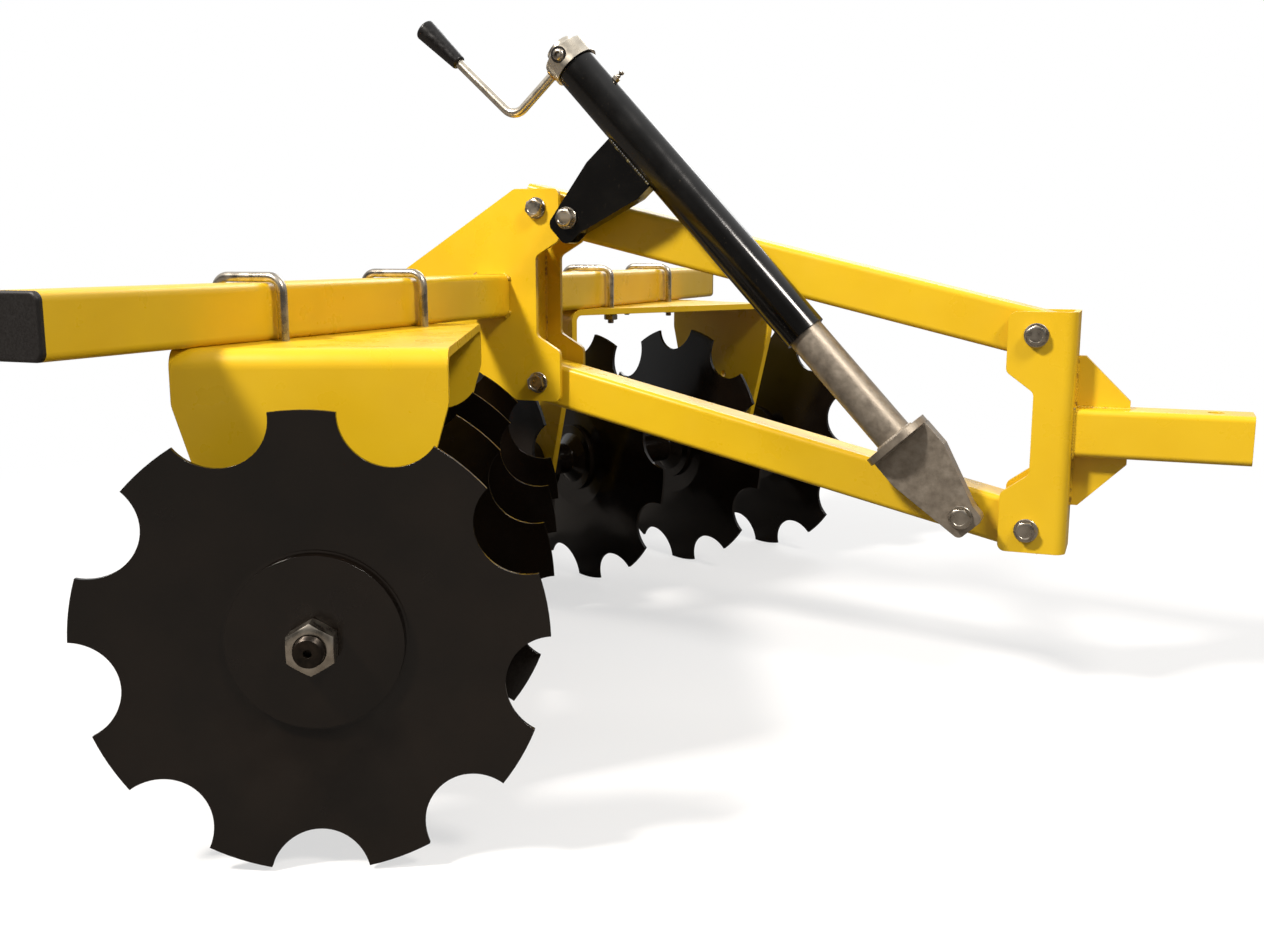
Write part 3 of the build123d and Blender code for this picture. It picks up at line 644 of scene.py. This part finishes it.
mast_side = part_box("mast_plate_left")[1][1]
web_low, web_high = (Vector(c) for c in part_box("mast_web"))
for side_name, side in SIDES:
    face = side * mast_side
    half = tube_half + 0.5 * mm
    edge = 6.0 * mm
    loop = []
    for across, up in ((1, 1), (1, -1), (-1, -1), (-1, 1)):
        corner = Vector((tube_middle.x + across * half, face, tube_middle.z + up * half))
        cut = [corner - X * across * edge, corner - Z * up * edge]
        loop += cut if across * up < 0 else reversed(cut)
    weld(f"{side_name}_tube_weld", loop, 6.0, "frame", yellow_weld, close=True)
    inner = side * (mast_side - 6.0 * mm)
    for level, place in ((web_high.x, "front"), (web_low.x, "rear")):
        ends = [Vector((level, inner, web_low.z + 4 * mm)), Vector((level, inner, web_high.z - 4 * mm))]
        weld(f"{side_name}_web_{place}_weld", ends, 4.5, "frame", yellow_weld)

bar_low, bar_high = (Vector(c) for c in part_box("drawbar"))
for name, up in (("upper", 1), ("lower", -1)):
    low, high = (Vector(c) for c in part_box(f"hitch_gusset_{name}"))
    foot = low.z if up > 0 else high.z
    tip = high.z if up > 0 else low.z
    for side_name, side in SIDES:
        thick = side * high.y
        lines = [Vector((low.x, thick, tip)), Vector((low.x, thick, foot)), Vector((high.x, thick, foot))]
        weld(f"hitch_gusset_{name}_{side_name}_weld", lines, 4.5, "hitch", yellow_weld)
bar = [Vector((bar_low.x, y, z)) for y, z in (
    (bar_low.y, bar_low.z), (bar_high.y, bar_low.z), (bar_high.y, bar_high.z), (bar_low.y, bar_high.z))]
weld("drawbar_weld", bar, 5.0, "hitch", yellow_weld, close=True)


def on_jack(along, front, across=0.0):
    """A point on the jack: mm along it from its lower pin, to its front, and to its left."""
    return jack_foot + jack_way * along * mm + jack_front * front * mm + Y * across * mm


upper_along = (upper_pin - jack_foot).dot(jack_way) / mm
LUG_HALF = 11.0
lug_seat = -math.sqrt(BARREL_RADIUS ** 2 - LUG_HALF**2)
for side_name, side in SIDES:
    ends = [on_jack(upper_along + reach, lug_seat, side * LUG_HALF) for reach in (-42, 26)]
    weld(f"jack_lug_{side_name}_weld", ends, 5.0, "jack_barrel", black_weld)
    line = [on_jack(100, -31, side * LUG_HALF), on_jack(100, 35, side * LUG_HALF)]
    weld(f"jack_fork_{side_name}_weld", line, 4.5, "jack_ram", zinc_weld)
RAM_RADIUS = 20.7
ring = [
    on_jack(108, RAM_RADIUS * math.cos(a), RAM_RADIUS * math.sin(a))
    for a in (math.tau * k / 40 for k in range(40))
]
weld("jack_ram_weld", ring, 5.5, "jack_ram", zinc_weld, close=True)

# ---------------------------------------------------------------- jack's small fittings

NIPPLE_ALONG = 608.0
NIPPLE_FLATS = 8.0
NIPPLE_BASE = 4.0
# radius and height of the grease nipple above its hexagon
NIPPLE = [(2.6, 4.0), (2.4, 6.5), (1.6, 7.4), (1.7, 8.0), (2.9, 9.4), (3.1, 10.6), (2.6, 12.0), (1.0, 12.8)]
nipple = rings_mesh(hexagon_rings(NIPPLE_FLATS, 0.0, NIPPLE_BASE) + turned_rings(NIPPLE))
piece(
    "grease_nipple",
    [nipple],
    stand(on_jack(NIPPLE_ALONG, BARREL_RADIUS - 0.4), jack_front, jack_way),
    "jack_barrel",
    FINISHES["zinc_plate"],
)

HEAD_RADIUS = 27.0
SCREW_ALONG = 666.0
screw_seat = stand(on_jack(SCREW_ALONG, 0, -HEAD_RADIUS + 0.4), -Y, jack_way)
dome = [(6.8, 0.0), (6.8, 0.7), (6.2, 1.7), (5.0, 2.5), (3.4, 2.9), (3.0, 2.9)]
recess = [(9.0, -1.2), (9.0, 0.3), (8.4, 0.5), (7.2, 0.35), (7.0, -1.0)]
SOCKET_HALF = 3.0
socket_rings = []
for level in (2.9, 0.9):
    across = [SOCKET_HALF / math.cos(math.tau * j / TURNS % (math.pi / 3) - math.pi / 6) for j in range(TURNS)]
    socket_rings.append([around(radius, j, level) for j, radius in enumerate(across)])
screw = rings_mesh(turned_rings(dome) + socket_rings)
piece("crank_screw", [screw], screw_seat, "crank", FINISHES["zinc_plate"])
# the recess ring around the screw is coloured near-black: painted shade in the counterbore
piece(
    "crank_screw_recess",
    [rings_mesh(turned_rings(recess), False, False)],
    screw_seat,
    "crank",
    recess_painted_shade,
)

ARM_ALONG = 666.0
arm_root = [
    on_jack(ARM_ALONG + 6.4 * math.cos(a), -HEAD_RADIUS + 0.6, 6.4 * math.sin(a))
    for a in (math.tau * k / 24 for k in range(24))
]
weld("crank_arm_braze", arm_root, 3.6, "crank", brass_weld, close=True, ripple=4.5)

# ---------------------------------------------------------------- floor, light and camera

FLOOR_HALF = 30.0
corners = [(-1, -1), (1, -1), (1, 1), (-1, 1)]
floor_mesh = bpy.data.meshes.new("floor")
floor_mesh.from_pydata([(x * FLOOR_HALF, y * FLOOR_HALF, 0) for x, y in corners], [], [(0, 1, 2, 3)])
floor = bpy.data.objects.new("floor", floor_mesh)
bpy.context.scene.collection.objects.link(floor)


def studio_white():
    """White studio sweep: takes the object's shadow near it and fades to white further out."""
    made = bpy.data.materials.new("studio_white")
    made.use_nodes = True
    tree = made.node_tree
    surface = tree.nodes["Principled BSDF"]
    surface.inputs["Roughness"].default_value = 0.9
    surface.inputs["Specular IOR Level"].default_value = 0.1
    place = add_node(tree, "ShaderNodeTexCoord").outputs["Object"]
    rays = add_node(tree, "ShaderNodeLightPath")
    seen = rays.outputs["Is Camera Ray"]
    tree.links.new(mix_colours(tree, seen, "6E6A66", "F4F4F4"), surface.inputs["Base Color"])
    far = add_node(tree, "ShaderNodeVectorMath", {0: place}, operation="LENGTH").outputs["Value"]
    fade = spread(tree, far, 0.8, 2.0, 0.62, 1.0)
    share = add_node(tree, "ShaderNodeMath", {0: fade, 1: seen}, operation="MULTIPLY").outputs["Value"]
    glow = add_node(tree, "ShaderNodeEmission", Strength=1.0)
    shaders = {0: share, 1: surface.outputs["BSDF"], 2: glow.outputs["Emission"]}
    mixed = add_node(tree, "ShaderNodeMixShader", shaders)
    tree.links.new(mixed.outputs["Shader"], tree.nodes["Material Output"].inputs["Surface"])
    return made


floor_mesh.materials.append(studio_white())

world = bpy.data.worlds.new("studio")
bpy.context.scene.world = world
world.use_nodes = True
sky = world.node_tree
sky_path = add_node(sky, "ShaderNodeLightPath")
AMBIENT = 0.28
ray_way = add_node(sky, "ShaderNodeTexCoord").outputs["Generated"]
toward = add_node(sky, "ShaderNodeVectorMath", {0: ray_way}, operation="DOT_PRODUCT")
toward.inputs[1].default_value = (-0.1, 0.45, 0.9)
# what polished faces mirror: a bright ceiling and back wall, and a dark room behind the camera
mirrored = spread(sky, toward.outputs["Value"], 0.0, 0.8, 0.1, 0.9)
lit = add_node(sky, "ShaderNodeMix", {0: sky_path.outputs["Is Glossy Ray"], 3: mirrored}, data_type="FLOAT")
lit.inputs[2].default_value = AMBIENT
strengths = {0: lit.outputs[0], 1: sky_path.outputs["Is Camera Ray"]}
sky_strength = add_node(sky, "ShaderNodeMath", strengths, operation="MAXIMUM")
sky.links.new(sky_strength.outputs["Value"], sky.nodes["Background"].inputs["Strength"])
sky.nodes["Background"].inputs["Color"].default_value = (1, 1, 1, 1)


def lamp(name, place, aim, size, power, colour="FFFFFF"):
    """Square area lamp at place, facing aim."""
    light = bpy.data.lights.new(name, "AREA")
    light.size = size
    light.energy = power
    light.color = linear(colour)[:3]
    made = bpy.data.objects.new(name, light)
    made.location = place
    made.rotation_euler = (Vector(aim) - Vector(place)).to_track_quat("-Z", "Y").to_euler()
    bpy.context.scene.collection.objects.link(made)


lamp("key", (-1.5, -2.4, 3.0), (0, 0, 0.3), 0.45, 190, "FFF8F0")
lamp("side", (1.9, -1.2, 2.6), (0, 0, 0.3), 0.6, 55, "FFF8F0")
lamp("back", (-0.5, 3.0, 2.4), (0, 0, 0.3), 2.0, 45)

# where the view is taken from, measured from the middle of the cross tube
CAMERA_FROM_TUBE = Vector((0.7328, -1.4029, 0.0510))
CAMERA_TURN = 22.07
CAMERA_DOWN = 9.94
camera = bpy.data.cameras.new("camera")
camera.lens = 36.06
camera.sensor_width = 36.0
camera.shift_x = 0.0028
camera.shift_y = -0.0012
camera.clip_start = 0.02
viewer = bpy.data.objects.new("camera", camera)
viewer.location = tube_middle + CAMERA_FROM_TUBE
viewer.rotation_euler = (math.radians(90 - CAMERA_DOWN), 0, math.radians(CAMERA_TURN))
bpy.context.scene.collection.objects.link(viewer)
bpy.context.scene.camera = viewer
bpy.context.scene.view_settings.view_transform = "Standard"
